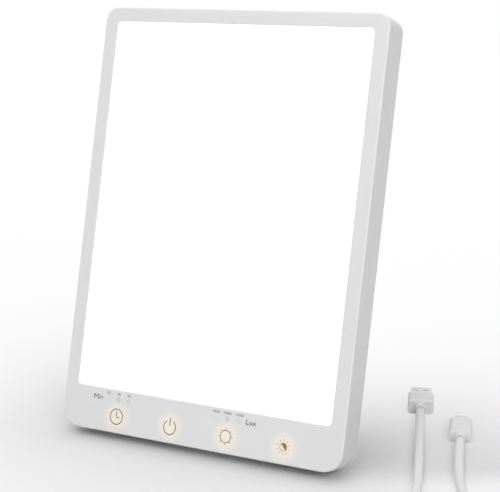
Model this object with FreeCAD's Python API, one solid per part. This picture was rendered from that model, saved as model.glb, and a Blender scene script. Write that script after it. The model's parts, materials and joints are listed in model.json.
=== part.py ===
import FreeCAD, Part
import math
import os
from FreeCAD import Vector

# Light therapy lamp: a flat lit panel that leans back on a fold-out rear leg,
# with four touch keys under the lit window and a separate USB-A to USB-C lead.
# Millimetres and degrees. The lamp is drawn upright in the panel's own frame,
# x across, y from the front face to the back, z up from the bottom edge, and
# then leaned back onto the floor z = 0. The front faces -y.

# Panel outside
panel_width = 165.0
panel_height = 230.0
panel_depth = 21.0
lean_angle = 14.4
top_corner = 7.0
bottom_corner = 11.0
edge_round = 1.0

# Front casing
wall = 2.0
face_thickness = 2.0
bezel_side = 7.8
bezel_top = 7.6
bezel_bottom = 23.2
window_corner = 2.5
window_chamfer = 0.3

# Rear cover
cover_thickness = 2.0
cover_rim = 1.6
cover_step = 0.4
cover_round = 0.9
lip_clearance = 0.15
lip_thickness = 1.4
lip_depth = 5.0
vent_count = 13
vent_pitch = 6.0
vent_width = 1.8
vent_length = 26.0
vent_from_top = 52.0

# Diffuser, films, light guide and plates behind the window
diffuser_recess = 0.35
diffuser_flange = 1.2
diffuser_gap = 0.1
flange_overlap = 2.0
film_thickness = 0.3
guide_thickness = 3.0
spreader_thickness = 1.0
gasket_thickness = 0.6
gasket_width = 6.0
stack_corner = 1.5

# Inner frame
frame_clearance = 0.2
rail_thickness = 2.1
web_thickness = 1.5
web_band = 12.5
web_corner = 2.0
web_bays = 3
cross_bar = 8.0
frame_boss_radius = 3.2
frame_boss_side = 11.0
frame_boss_low = 32.0
frame_boss_top = 16.0
frame_ear_side = 8.5
frame_ear_height = 8.0
frame_screw_gap = 0.4
catch_length = 12.0
catch_depth = 1.0
catch_reach = 1.2
catch_offset = 45.0

# Light strips
strip_board = 1.0
chip_thickness = 0.9
chip_gap = 0.3
chip_length = 3.0
chip_width = 2.0
chip_pitch = 5.5
strip_end_gap = 3.0

# Touch keys and indicators
icon_row_margin = 33.3
icon_offset = 1.0
icon_height = 9.0
icon_count = 4
icon_pocket_depth = 1.2
cup_inner = 3.6
cup_wall = 0.7
sleeve_gap = 0.2
sleeve_wall = 0.7
indicator_pitch = 6.5
indicator_height = 18.15
indicator_per_group = 3
pipe_radius = 0.85
pipe_clearance = 0.05
pipe_flange_radius = 1.3
pipe_flange = 0.8

# Control board
board_front = 6.0
board_thickness = 1.2
board_side_gap = 19.7
board_bottom = 3.2
board_top_gap = 0.8
board_screw_inset = 2.3
board_screw_low = 6.5
board_screw_mid = 15.0
board_boss_radius = 2.4
board_low_corner = 4.0
board_high_corner = 1.0
icon_led_size = 2.8
icon_led_height = 0.8
indicator_led_size = 1.0
indicator_led_height = 0.5
controller_offset = 1.5
controller_z = 11.0
chip_body = 7.0
chip_body_height = 1.4
chip_leg_count = 8
chip_leg_pitch = 0.8
chip_leg_width = 0.35
chip_leg_reach = 1.0
chip_leg_thickness = 0.2
chip_leg_root = 0.5
inductor_place = (8.0, 12.0)
inductor_size = 7.0
inductor_height = 3.4
inductor_corner = 1.5
inductor_well_radius = 2.1
inductor_well_depth = 0.4
capacitor_places = ((-14.0, 12.0), (-7.0, 12.0))
capacitor_radius = 2.5
capacitor_height = 5.6
capacitor_round = 0.5
strip_connector_inset = 9.8
power_connector_offset = 22.8
connector_z = 15.0
connector_width = 6.0
connector_height = 4.4
connector_depth = 4.6
connector_wall = 0.6
wire_radius = 0.6
wire_pitch = 1.5
path_trim_share = 0.45

# USB socket and its board
socket_from_side = 30.5
socket_z = 27.0
socket_half_width = 4.47
socket_half_height = 1.63
socket_wall = 0.3
socket_mouth_depth = 0.5
socket_clearance = 0.3
socket_floor = 1.0
tongue_half_width = 3.35
tongue_half_height = 0.35
tongue_recess = 1.0
power_board_half_width = 11.0
power_board_half_height = 8.0
power_board_setback = 10.0
power_screw_side = 8.2

# Screws
screw_radius = 1.25
screw_clearance = 0.05
screw_head_radius = 2.3
screw_head_height = 1.0
screw_length = 8.0
small_screw_radius = 0.95
small_head_radius = 1.8
small_head_height = 0.9
small_screw_length = 4.0
screw_hole_gap = 0.3
cross_length_share = 1.1
cross_width = 0.5
cross_depth = 0.55

# Fold-out leg, its hinge and the recess it folds into
hinge_from_top = 112.0
hinge_inset = 3.0
open_angle = 24.0
leg_half_width = 23.0
leg_side_gap = 0.5
leg_outer = 2.7
leg_inner = 2.2
leg_skin = 1.8
leg_rib = 1.6
leg_rib_count = 3
leg_border = 3.0
leg_tip_corner = 4.0
leg_pocket_corner = 2.0
barrel_radius = 2.5
heel_height = 7.0
heel_thickness = 1.8
heel_gap = 0.3
recess_depth = 6.0
recess_above = 10.0
recess_corner = 3.0
tub_wall = 1.6
notch_gap = 0.2
pin_radius = 1.5
pin_seat_gap = 0.03
pin_running_gap = 0.06
pin_boss_radius = 3.6
pin_boss_length = 2.6
pin_stop = 0.6
pin_end_gap = 0.3
pin_stop_gap = 0.1
leg_edge_round = 0.6
washer_thickness = 0.4
washer_outer = 2.4
washer_gap = 0.06
foot_thickness = 2.2
foot_inset = 3.0
foot_tongue = 3.0
foot_tongue_thickness = 1.6
foot_tongue_gap = 0.05
floor_margin = 6.0

# Wedge feet under the casing
base_gap = 0.6
base_foot_from_side = 26.5
base_foot_length = 28.0
base_foot_setback = 2.4
base_foot_depth = 4.6
base_foot_pocket = 0.6
base_foot_clearance = 0.05

# Lead: cord, plugs, coil and tie
cord_radius = 2.5
usb_a_exit = Vector(85.8, 72.2, 4.0)
usb_c_exit = Vector(118.8, 40.7, 3.3)
coil_centre = Vector(146.0, -88.0, 0.0)
coil_inner = 19.8
coil_outer = 35.2
coil_bottom = 0.8
coil_top = 11.0
coil_corner = 2.5
tie_thickness = 0.8
tie_half_angle = 9.0
tie_gap = 0.1
tie_direction = 262.0
usb_a_shell_width = 12.0
usb_a_shell_height = 4.5
usb_a_shell_length = 11.6
usb_a_shell_wall = 0.35
usb_a_shell_corner = 0.6
usb_a_grip_side = 1.3
usb_a_grip_face = 1.75
usb_a_body_length = 17.0
usb_a_hole_width = 2.5
usb_a_hole_length = 2.1
usb_a_hole_offset = 2.65
usb_a_hole_from_tip = 5.9
usb_a_tongue_height = 1.9
usb_a_tongue_recess = 0.4
usb_a_dot_radius = 0.6
usb_a_dot_from_tip = 9.5
usb_c_shell_width = 8.34
usb_c_shell_height = 2.56
usb_c_shell_length = 6.6
usb_c_shell_wall = 0.25
usb_c_liner_side = 0.55
usb_c_liner_wall = 0.35
usb_c_liner_recess = 0.5
usb_c_grip_side = 1.98
usb_c_grip_face = 2.02
usb_c_body_length = 21.6
plug_insert = 3.0
usb_a_corner = 2.4
usb_c_corner = 2.8
plug_round = 0.7
contact_count = 4
contact_from_tip = 1.2
contact_length = 6.0
contact_width = 1.0
contact_thickness = 0.2
contact_pitch = 2.4
relief_length = 5.5
relief_root_wall = 0.8
relief_end_wall = 0.5
relief_groove_width = 0.8
relief_groove_depth = 0.6
relief_groove_offset = 0.6
relief_bridge_width = 2.4

# Wire routes, chosen by hand: the strip wires as distance in from the side rail, depth and
# height, the link wires as distance in from the socket's middle, depth and height
strip_wire_route = ((23.8, 9.5, 15.0), (17.2, 9.3, 15.3), (12.0, 7.4, 16.4), (6.7, 5.6, 17.4))
strip_wire_rise = 1.8
strip_wire_turn = 1.4
strip_wire_end = 0.7
link_wire_start = (7.5, 5.8)
link_wire_route = ((11.0, 9.9, 19.6), (15.0, 9.6, 16.4), (21.0, 9.5, 14.8))

# Route of the cord from each plug to the coil, chosen by hand
route_a = [
    usb_a_exit,
    Vector(91.2, 55.8, 4.0),
    Vector(100.8, 26.8, 2.6),
    Vector(110.8, -5.0, 2.5),
    Vector(117.6, -36.0, 2.7),
    Vector(115.6, -62.0, 3.0),
    Vector(117.6, -80.0, 4.2),
]
route_c = [
    usb_c_exit,
    Vector(122.6, 27.6, 3.3),
    Vector(130.2, 1.6, 2.5),
    Vector(139.6, -24.6, 2.5),
    Vector(155.0, -45.0, 2.6),
    Vector(168.6, -62.0, 5.0),
    Vector(175.6, -80.0, 7.6),
]

# Values that follow from the driving dimensions
half_width = panel_width / 2
hinge_height = panel_height - hinge_from_top
vent_height = panel_height - vent_from_top
shell_depth = panel_depth - cover_rim
cover_inside = panel_depth - cover_thickness
window_low = bezel_bottom
window_high = panel_height - bezel_top
window_half = half_width - bezel_side
rail_inside = half_width - wall - frame_clearance - rail_thickness
guide_half = rail_inside - strip_board - chip_thickness - chip_gap
stack_low = window_low - flange_overlap
stack_high = window_high + flange_overlap
film_front = face_thickness + diffuser_flange
guide_front = film_front + film_thickness
reflector_front = guide_front + guide_thickness
spreader_front = reflector_front + film_thickness
gasket_front = spreader_front + spreader_thickness
web_front = gasket_front + gasket_thickness
web_back = web_front + web_thickness
board_top = stack_low - board_top_gap
board_back = board_front + board_thickness
board_half_width = half_width - board_side_gap
board_screw_side = board_half_width - board_screw_inset
strip_connector_x = board_half_width - strip_connector_inset
socket_x = half_width - socket_from_side
power_board_front = panel_depth - power_board_setback
power_board_back = power_board_front + board_thickness
base_foot_x = half_width - base_foot_from_side
base_foot_back = panel_depth - base_foot_setback
base_foot_front = base_foot_back - base_foot_depth
usb_a_body_width = usb_a_shell_width + 2 * usb_a_grip_side
usb_a_body_height = usb_a_shell_height + 2 * usb_a_grip_face
usb_c_body_width = usb_c_shell_width + 2 * usb_c_grip_side
usb_c_body_height = usb_c_shell_height + 2 * usb_c_grip_face
hinge_depth = panel_depth - hinge_inset
recess_half = leg_half_width + leg_side_gap
recess_floor = panel_depth - recess_depth
pin_seat = recess_half + tub_wall + pin_boss_length
recess_top = hinge_height + recess_above
lean = math.radians(lean_angle)
floor_level = -panel_depth * math.sin(lean) - base_gap
hinge_rise = hinge_height * math.cos(lean) - hinge_depth * math.sin(lean) - floor_level
leg_reach_down = hinge_rise / math.cos(math.radians(open_angle - lean_angle))
leg_length = leg_reach_down - foot_thickness
icon_pitch = (panel_width - 2 * icon_row_margin) / (icon_count - 1)
icon_centres = [icon_offset + icon_pitch * (i - (icon_count - 1) / 2) for i in range(icon_count)]
indicator_centres = (icon_centres[0], icon_centres[2])
indicator_steps = [indicator_pitch * (i - (indicator_per_group - 1) / 2) for i in range(indicator_per_group)]
indicator_places = [centre + step for centre in indicator_centres for step in indicator_steps]
frame_boss_x = half_width - frame_boss_side
frame_boss_high = panel_height - frame_boss_top
frame_boss_rows = (frame_boss_low, (frame_boss_low + frame_boss_high) / 2, frame_boss_high)
frame_boss_places = [(side * frame_boss_x, z) for side in (-1, 1) for z in frame_boss_rows]
frame_ear_places = [(side * (half_width - frame_ear_side), frame_ear_height) for side in (-1, 1)]
board_screw_places = [(-board_screw_side, board_screw_low), (icon_offset, board_screw_mid),
                      (board_screw_side, board_screw_low)]
power_screw_places = [(socket_x + side * power_screw_side, socket_z) for side in (-1, 1)]

along_x = Vector(1, 0, 0)
along_y = Vector(0, 1, 0)
along_z = Vector(0, 0, 1)


# A box from its low and high corner in each direction
def block(x_low, x_high, y_low, y_high, z_low, z_high):
    corner = Vector(x_low, y_low, z_low)
    return Part.makeBox(x_high - x_low, y_high - y_low, z_high - z_low, corner)


# A round bar through the thickness of the panel
def bar_y(x, z, radius, y_low, y_high):
    return Part.makeCylinder(radius, y_high - y_low, Vector(x, y_low, z), along_y)


# A round bar across the panel
def bar_x(y, z, radius, x_low, x_high):
    return Part.makeCylinder(radius, x_high - x_low, Vector(x_low, y, z), along_x)


# A ring about an axis across the panel
def ring_x(y, z, inner, outer, x_low, x_high):
    return bar_x(y, z, outer, x_low, x_high).cut(bar_x(y, z, inner, x_low, x_high))


# Closed rectangle in a plane of constant y, with its corners rounded
def rounded_outline(x_low, x_high, z_low, z_high, low_radius, high_radius, y):
    corners = [
        (x_high, z_low, -1, 1, low_radius, -90),
        (x_high, z_high, -1, -1, high_radius, 0),
        (x_low, z_high, 1, -1, high_radius, 90),
        (x_low, z_low, 1, 1, low_radius, 180),
    ]
    ends = []
    arcs = []
    for x, z, to_x, to_z, radius, start in corners:
        centre = Vector(x + to_x * radius, y, z + to_z * radius)
        points = []
        for turn in (0, 45, 90):
            angle = math.radians(start + turn)
            points.append(centre + Vector(radius * math.cos(angle), 0, radius * math.sin(angle)))
        arcs.append(Part.Arc(*points).toShape())
        ends.append((points[0], points[2]))
    edges = []
    for i, arc in enumerate(arcs):
        edges.append(arc)
        edges.append(Part.LineSegment(ends[i][1], ends[(i + 1) % 4][0]).toShape())
    return Part.Wire(edges)


# A flat slab with rounded corners, from y_low to y_high
def rounded_slab(x_low, x_high, z_low, z_high, low_radius, high_radius, y_low, y_high):
    wire = rounded_outline(x_low, x_high, z_low, z_high, low_radius, high_radius, y_low)
    return Part.Face(wire).extrude(Vector(0, y_high - y_low, 0))


# A slab with the casing's outline, drawn in by inset all round
def case_slab(inset, y_low, y_high):
    return rounded_slab(-half_width + inset, half_width - inset, inset, panel_height - inset,
                        bottom_corner - inset, top_corner - inset, y_low, y_high)


# The window's outline, grown by margin all round
def window_outline(margin, y):
    radius = window_corner + margin
    return rounded_outline(-window_half - margin, window_half + margin, window_low - margin,
                           window_high + margin, radius, radius, y)


# A plate of the layered stack behind the window
def stack_plate(half, inset, y_low, y_high):
    return rounded_slab(-half + inset, half - inset, stack_low + inset, stack_high - inset,
                        stack_corner, stack_corner, y_low, y_high)


# Rounds the edges of a solid that lie in one plane of constant y
def round_edges_at(solid, y, radius):
    edges = [edge for edge in solid.Edges
             if abs(edge.BoundBox.YMin - y) < 0.01 and abs(edge.BoundBox.YMax - y) < 0.01]
    return solid.makeFillet(radius, edges)


def fuse_all(solids):
    whole = solids[0]
    for solid in solids[1:]:
        whole = whole.fuse(solid)
    return whole.removeSplitter()


def cut_all(solid, tools):
    for tool in tools:
        solid = solid.cut(tool)
    return solid


# Screw along y with its head at y_head, shank towards direction (+1 or -1), and a cross recess
def screw(x, z, y_head, direction, radius, length, head_radius, head_height):
    under = y_head + direction * head_height
    tip = under + direction * length
    head = bar_y(x, z, head_radius, min(y_head, under), max(y_head, under))
    shank = bar_y(x, z, radius, min(under, tip), max(under, tip))
    bottom = y_head + direction * cross_depth
    y_low = min(y_head, bottom)
    y_high = max(y_head, bottom)
    reach = head_radius * cross_length_share / 2
    thin = cross_width / 2
    cross = block(x - reach, x + reach, y_low, y_high, z - thin, z + thin)
    cross = cross.fuse(block(x - thin, x + thin, y_low, y_high, z - reach, z + reach))
    return head.fuse(shank).cut(cross)


# Path of straight runs joined by tangent arcs, each arc as large as its two runs allow
def smooth_path(points, name):
    edges = []
    radii = []
    start = points[0]
    for i in range(1, len(points) - 1):
        before = points[i] - points[i - 1]
        after = points[i + 1] - points[i]
        turn = before.getAngle(after)
        shorter = min(before.Length, after.Length)
        trim = path_trim_share * shorter
        radii.append(trim / math.tan(turn / 2))
        before.normalize()
        after.normalize()
        arc_start = points[i] - before * trim
        arc_end = points[i] + after * trim
        inward = after - before
        inward.normalize()
        sagitta = radii[-1] * (1 / math.cos(turn / 2) - 1)
        middle = points[i] + inward * sagitta
        edges.append(Part.LineSegment(start, arc_start).toShape())
        edges.append(Part.Arc(arc_start, middle, arc_end).toShape())
        start = arc_end
    edges.append(Part.LineSegment(start, points[-1]).toShape())
    if name:
        print(name, "bend radii", [round(radius, 1) for radius in radii])
    return Part.Wire(edges)


# A round tube along such a path
def tube(points, radius, name=""):
    path = smooth_path(points, name)
    heading = points[1] - points[0]
    section = Part.Wire([Part.makeCircle(radius, points[0], heading)])
    solid = path.makePipeShell([section], True, False)
    if name:
        expected = math.pi * radius ** 2 * path.Length
        print(name, "length", round(path.Length, 1), "volume share", round(solid.Volume / expected, 4))
    return solid


def make_front_case():
    shell = round_edges_at(case_slab(0, 0, shell_depth), 0, edge_round)
    shell = shell.cut(case_slab(wall, face_thickness, panel_depth))
    pads = []
    for x, z in board_screw_places:
        pads.append(bar_y(x, z, board_boss_radius, face_thickness / 2, board_front))
    for x, z in frame_ear_places:
        pads.append(bar_y(x, z, frame_boss_radius, face_thickness / 2, web_front))
    for side in (-1, 1):
        middle = side * catch_offset
        pads.append(block(middle - catch_length / 2, middle + catch_length / 2, web_back,
                          web_back + catch_depth, panel_height - wall - catch_reach,
                          panel_height - wall / 2))
    shell = fuse_all([shell] + pads)
    tools = [Part.Face(window_outline(0, -1)).extrude(Vector(0, face_thickness + 2, 0))]
    chamfer = [window_outline(window_chamfer, 0), window_outline(0, window_chamfer)]
    tools.append(Part.makeLoft(chamfer, True))
    pocket_floor = face_thickness - icon_pocket_depth
    for x in icon_centres:
        tools.append(bar_y(x, icon_height, cup_inner, pocket_floor, face_thickness + 1))
    for x in indicator_places:
        tools.append(bar_y(x, indicator_height, pipe_radius + pipe_clearance, -1, face_thickness + 1))
    hole = small_screw_radius + screw_clearance
    for x, z in board_screw_places:
        tools.append(bar_y(x, z, hole, board_front - small_screw_length, board_front + 1))
    hole = screw_radius + screw_clearance
    for x, z in frame_ear_places:
        tools.append(bar_y(x, z, hole, face_thickness, web_front + 1))
    notch_half = recess_half + tub_wall + notch_gap
    notch_front = recess_floor - tub_wall - notch_gap
    tools.append(block(-notch_half, notch_half, notch_front, panel_depth, -1, wall + 1))
    for side in (-1, 1):
        tools.append(base_foot_block(side, 0, -1))
    return cut_all(shell, tools)


# Space of one wedge foot: sunk into the bottom wall, running down past the floor
def base_foot_block(side, shrink, z_low):
    middle = side * base_foot_x
    half = base_foot_length / 2 - shrink
    return block(middle - half, middle + half, base_foot_front + shrink, base_foot_back - shrink,
                 z_low, base_foot_pocket)


def make_rear_cover():
    cover = round_edges_at(case_slab(cover_step, shell_depth, panel_depth), panel_depth, cover_round)
    inside = wall + lip_clearance
    lip = case_slab(inside, panel_depth - lip_depth, shell_depth)
    lip = lip.cut(case_slab(inside + lip_thickness, panel_depth - lip_depth - 1, cover_inside))
    tub_half = recess_half + tub_wall
    tub_front = recess_floor - tub_wall
    tub = block(-tub_half, tub_half, tub_front, shell_depth, cover_step, recess_top + tub_wall)
    solids = [cover, lip, tub]
    for side in (-1, 1):
        near = side * recess_half
        far = side * (tub_half + pin_boss_length)
        boss = bar_x(hinge_depth, hinge_height, pin_boss_radius, min(near, far), max(near, far))
        solids.append(boss.common(block(-half_width, half_width, 0, cover_inside + cover_thickness / 2, 0,
                                        panel_height)))
    for x, z in power_screw_places:
        solids.append(bar_y(x, z, board_boss_radius, power_board_back, cover_inside + cover_thickness / 2))
    cover = fuse_all(solids)
    recess = rounded_slab(-recess_half, recess_half, -recess_depth, recess_top, recess_corner,
                          recess_corner, recess_floor, panel_depth + 1)
    tools = [recess]
    pin_hole = pin_radius + pin_seat_gap
    tools.append(bar_x(hinge_depth, hinge_height, pin_hole, -pin_seat - 1, pin_seat - pin_stop))
    for x, z in frame_boss_places:
        tools.append(bar_y(x, z, screw_radius + screw_hole_gap, cover_inside - 1, panel_depth + 1))
        tools.append(bar_y(x, z, screw_head_radius + screw_hole_gap, panel_depth - screw_head_height,
                           panel_depth + 1))
    for x, z in power_screw_places:
        tools.append(bar_y(x, z, small_screw_radius + screw_clearance, power_board_back - 1,
                           power_board_back + small_screw_length))
    tools.append(oval_slab(socket_x, socket_z, socket_half_width + socket_clearance,
                           socket_half_height + socket_clearance, cover_inside - 1, panel_depth + 1))
    for i in range(vent_count):
        x = vent_pitch * (i - (vent_count - 1) / 2)
        tools.append(rounded_slab(x - vent_width / 2, x + vent_width / 2, vent_height - vent_length / 2,
                                  vent_height + vent_length / 2, vent_width / 2 - 0.01,
                                  vent_width / 2 - 0.01, cover_inside - 1, panel_depth + 1))
    return cut_all(cover, tools)


# A flat oval with full-round ends, along y
def oval_slab(x, z, half, half_height, y_low, y_high):
    radius = half_height - 0.01
    return rounded_slab(x - half, x + half, z - half_height, z + half_height, radius, radius, y_low,
                        y_high)


def make_inner_frame():
    outside = wall + frame_clearance
    rails = case_slab(outside, face_thickness, web_back)
    rails = rails.cut(case_slab(outside + rail_thickness, face_thickness - 1, web_back + 1))
    rails = rails.cut(block(-half_width, half_width, 0, panel_depth, 0, stack_low))
    web = case_slab(outside, web_front, web_back)
    band_inside = half_width - wall - web_band
    web = web.cut(block(-band_inside, band_inside, 0, panel_depth, 0, stack_low + web_band))
    opening_low = stack_low + web_band
    opening_high = panel_height - wall - web_band
    step = (opening_high - opening_low + cross_bar) / web_bays
    for i in range(web_bays):
        low = opening_low + i * step
        web = web.cut(rounded_slab(-band_inside, band_inside, low, low + step - cross_bar, web_corner,
                                   web_corner, 0, panel_depth))
    web = web.fuse(block(-band_inside - 1, band_inside + 1, web_front, web_back, opening_low - cross_bar,
                         opening_low))
    frame = [rails, web]
    for x, z in frame_boss_places:
        frame.append(bar_y(x, z, frame_boss_radius, web_front + web_thickness / 2, cover_inside))
    frame = fuse_all(frame)
    tools = []
    hole = screw_radius + screw_clearance
    shank_tip = panel_depth - screw_head_height - screw_length
    for x, z in frame_boss_places:
        tools.append(bar_y(x, z, hole, shank_tip - screw_hole_gap, cover_inside + 1))
    for x, z in frame_ear_places:
        tools.append(bar_y(x, z, screw_radius + screw_hole_gap, web_front - 1, web_back + 1))
    return cut_all(frame, tools)


def make_diffuser():
    flange = rounded_slab(-window_half - flange_overlap, window_half + flange_overlap, stack_low, stack_high,
                          stack_corner, stack_corner, face_thickness, film_front)
    depth = Vector(0, face_thickness - diffuser_recess, 0)
    raised = Part.Face(window_outline(-diffuser_gap, diffuser_recess)).extrude(depth)
    return fuse_all([flange, raised])


def make_gasket():
    outer = stack_plate(guide_half, 0, gasket_front, web_front)
    return outer.cut(stack_plate(guide_half, gasket_width, gasket_front - 1, web_front + 1))


# One light strip's board on the rail, on the side given by -1 or 1
def make_strip_board(side):
    near = side * (rail_inside - strip_board)
    far = side * rail_inside
    return block(min(near, far), max(near, far), guide_front, reflector_front,
                 stack_low + strip_end_gap, stack_high - strip_end_gap)


def make_strip_chips(side):
    far = side * (rail_inside - strip_board)
    near = far - side * chip_thickness
    middle = (guide_front + reflector_front) / 2
    span = stack_high - stack_low - 2 * strip_end_gap - 4 * chip_length
    count = int(span / chip_pitch) + 1
    first = (stack_low + stack_high) / 2 - chip_pitch * (count - 1) / 2
    chips = []
    for i in range(count):
        z = first + i * chip_pitch
        chips.append(block(min(near, far), max(near, far), middle - chip_width / 2, middle + chip_width / 2,
                           z - chip_length / 2, z + chip_length / 2))
    return Part.makeCompound(chips)


def make_control_board():
    board = rounded_slab(-board_half_width, board_half_width, board_bottom, board_top,
                         board_low_corner, board_high_corner, board_front, board_back)
    tools = [bar_y(x, z, small_screw_radius + screw_hole_gap, board_front - 1, board_back + 1)
             for x, z in board_screw_places]
    return cut_all(board, tools)


# Tubes on the board's front, one round each key
def key_rings(inner, outer):
    rings = []
    for x in icon_centres:
        ring = bar_y(x, icon_height, outer, face_thickness, board_front)
        rings.append(ring.cut(bar_y(x, icon_height, inner, face_thickness, board_front)))
    return Part.makeCompound(rings)


# Small square lamps standing on the board's front
def board_lamps(places, z, size, height):
    lamps = []
    for x in places:
        lamps.append(block(x - size / 2, x + size / 2, board_front - height, board_front, z - size / 2,
                           z + size / 2))
    return Part.makeCompound(lamps)


def make_light_pipes():
    pipes = []
    for x in indicator_places:
        pin = bar_y(x, indicator_height, pipe_radius, 0, board_front - indicator_led_height)
        flange = bar_y(x, indicator_height, pipe_flange_radius, face_thickness, face_thickness + pipe_flange)
        pipes.append(pin.fuse(flange))
    return Part.makeCompound(pipes)


# Chip with two rows of legs on the back of the control board, about midway between the
# strip connector and the first capacitor
def make_controller():
    x = (capacitor_places[0][0] - strip_connector_x) / 2 + controller_offset
    z = controller_z
    half = chip_body / 2
    lift = chip_leg_thickness
    body = block(x - half, x + half, board_back + lift, board_back + chip_body_height, z - half, z + half)
    solids = [body]
    for side in (-1, 1):
        for i in range(chip_leg_count):
            leg_x = x + chip_leg_pitch * (i - (chip_leg_count - 1) / 2)
            near = z + side * (half - chip_leg_root)
            far = z + side * (half + chip_leg_reach)
            solids.append(block(leg_x - chip_leg_width / 2, leg_x + chip_leg_width / 2, board_back,
                                board_back + chip_leg_thickness * 2, min(near, far), max(near, far)))
    return fuse_all(solids)


def make_inductor():
    x, z = inductor_place
    half = inductor_size / 2
    high = board_back + inductor_height
    body = rounded_slab(x - half, x + half, z - half, z + half, inductor_corner, inductor_corner,
                        board_back, high)
    return body.cut(bar_y(x, z, inductor_well_radius, high - inductor_well_depth, high + 1))


def make_capacitors():
    cans = []
    for x, z in capacitor_places:
        can = bar_y(x, z, capacitor_radius, board_back, board_back + capacitor_height)
        cans.append(round_edges_at(can, board_back + capacitor_height, capacitor_round))
    return Part.makeCompound(cans)


# Wire socket on the board's back: a small box open on the side its wires enter
def make_connector(x, side):
    half = connector_width / 2
    low = connector_z - connector_height / 2
    high = connector_z + connector_height / 2
    back = board_back + connector_depth
    body = block(x - half, x + half, board_back, back, low, high)
    inner = block(x - half, x + half, board_back + connector_wall, back - connector_wall,
                  low + connector_wall, high - connector_wall)
    return body.cut(inner.translated(Vector(side * connector_wall, 0, 0)))


# Two wires side by side along one hand-laid route
def wire_pair(points, spread):
    wires = []
    for side in (-0.5, 0.5):
        shift = spread * wire_pitch * side
        wires.append(tube([point + shift for point in points], wire_radius))
    return wires


def make_socket_shell():
    shell = oval_slab(socket_x, socket_z, socket_half_width, socket_half_height, power_board_back,
                      panel_depth - socket_mouth_depth)
    inner = oval_slab(socket_x, socket_z, socket_half_width - socket_wall, socket_half_height - socket_wall,
                      power_board_back + socket_floor, panel_depth)
    return shell.cut(inner)


def make_socket_tongue():
    tip = panel_depth - socket_mouth_depth - tongue_recess
    return block(socket_x - tongue_half_width, socket_x + tongue_half_width,
                 power_board_back + socket_floor, tip,
                 socket_z - tongue_half_height, socket_z + tongue_half_height)


def make_power_board():
    board = block(socket_x - power_board_half_width, socket_x + power_board_half_width, power_board_front,
                  power_board_back, socket_z - power_board_half_height, socket_z + power_board_half_height)
    tools = [bar_y(x, z, small_screw_radius + screw_hole_gap, power_board_front - 1, power_board_back + 1)
             for x, z in power_screw_places]
    return cut_all(board, tools)


# Turns a shape drawn folded flat in the recess to the open position
def opened(shape):
    turned = shape.copy()
    turned.rotate(Vector(0, hinge_depth, hinge_height), along_x, open_angle)
    return turned


def make_leg():
    low = hinge_height - leg_length
    outer = hinge_depth + leg_outer
    inner = hinge_depth - leg_inner
    plate = rounded_slab(-leg_half_width, leg_half_width, low, hinge_height, leg_tip_corner,
                         leg_edge_round, inner, outer)
    pocket_high = hinge_height - barrel_radius - leg_border
    pocket_low = low + foot_tongue + leg_border
    pocket = rounded_slab(-leg_half_width + leg_border, leg_half_width - leg_border, pocket_low, pocket_high,
                          leg_pocket_corner, leg_pocket_corner, inner - 1, outer - leg_skin)
    plate = round_edges_at(plate, outer, leg_edge_round).cut(pocket)
    barrel = bar_x(hinge_depth, hinge_height, barrel_radius, -leg_half_width, leg_half_width)
    solids = [plate, barrel]
    step = 2 * (leg_half_width - leg_border) / (leg_rib_count + 1)
    for i in range(leg_rib_count):
        x = step * (i - (leg_rib_count - 1) / 2)
        solids.append(block(x - leg_rib / 2, x + leg_rib / 2, inner, outer - leg_skin / 2,
                            pocket_low - 1, pocket_high + 1))
    leg = opened(fuse_all(solids))
    heel_front = recess_floor + heel_gap
    heel = block(-leg_half_width, leg_half_width, heel_front, heel_front + heel_thickness,
                 hinge_height, hinge_height + heel_height)
    leg = fuse_all([leg, heel])
    bore = bar_x(hinge_depth, hinge_height, pin_radius + pin_running_gap, -half_width, half_width)
    return leg.cut(bore).cut(opened(foot_tongue_block(foot_tongue_gap)))


# The tongue of the rubber foot, or with a gap the slot it sits in
def foot_tongue_block(gap):
    low = hinge_height - leg_length
    middle = hinge_depth + (leg_outer - leg_inner) / 2
    half = leg_half_width - 2 * foot_inset + gap
    thin = foot_tongue_thickness / 2 + gap
    return block(-half, half, middle - thin, middle + thin, low - 0.1, low + foot_tongue)


def make_leg_foot():
    low = hinge_height - leg_length
    pad = block(-leg_half_width + foot_inset, leg_half_width - foot_inset, hinge_depth - leg_inner,
                hinge_depth + leg_outer, low - floor_margin, low)
    return opened(pad.fuse(foot_tongue_block(0)).removeSplitter())


# Plain steel pin, pushed in through the open boss up to the closed end of the other
def make_pin():
    return bar_x(hinge_depth, hinge_height, pin_radius, -pin_seat + pin_end_gap,
                 pin_seat - pin_stop - pin_stop_gap)


def make_washers():
    washers = []
    for side in (-1, 1):
        near = side * recess_half
        far = side * (recess_half - washer_thickness)
        washers.append(ring_x(hinge_depth, hinge_height, pin_radius + washer_gap, washer_outer,
                              min(near, far), max(near, far)))
    return Part.makeCompound(washers)


# Plug pieces are drawn along +y from the end of the strain relief, then turned and set down
def set_plug(shape, route):
    back = route[0] - route[1]
    placed = shape.copy()
    placed.rotate(Vector(0, 0, 0), along_z, math.degrees(math.atan2(back.y, back.x)) - 90)
    placed.translate(route[0])
    return placed


# Moulded grip of a plug: rounded across its section and softened at both ends
def plug_body(width, height, y_low, y_high, corner):
    body = rounded_slab(-width / 2, width / 2, -height / 2, height / 2, corner, corner, y_low, y_high)
    body = round_edges_at(body, y_low, plug_round)
    return round_edges_at(body, y_high, plug_round)


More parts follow.
